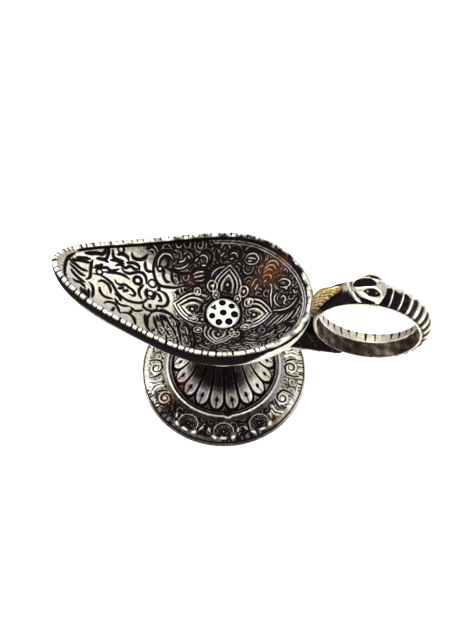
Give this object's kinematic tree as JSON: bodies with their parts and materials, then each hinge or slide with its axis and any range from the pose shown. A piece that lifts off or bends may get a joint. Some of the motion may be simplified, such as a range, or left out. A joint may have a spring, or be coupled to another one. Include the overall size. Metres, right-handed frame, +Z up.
{
  "type": "diya oil lamp",
  "caption": "Boat-shaped metal oil lamp with a notched rim and pointed spout, on a petalled round pedestal, with a serpent ring handle.",
  "frame": {"origin": "middle of the object's box in X and Y, on the surface that the foot stands on", "axes": "+X from the spout towards the ring handle, +Y across the bowl, +Z up"},
  "size_m": [0.1102, 0.0524, 0.0672],
  "materials": {
    "antique_white_metal": "cast, blackened in the recesses and rubbed bright on the raised work",
    "polished_white_metal": "rubbed bright, with a few dark pits",
    "leaf_brass": "antique brass, dark in the veins",
    "plated_steel": "dull zinc plate"
  },
  "bodies": {
    "root": {"bowl": "antique_white_metal", "pedestal": "antique_white_metal", "handle_ring": "antique_white_metal", "serpent_head": "antique_white_metal", "tail_bracket": "antique_white_metal", "leaf_lug": "leaf_brass", "seed_pod_bolt": "polished_white_metal", "tie_washer": "plated_steel", "tie_nut": "plated_steel"}
  },
  "joints": []
}
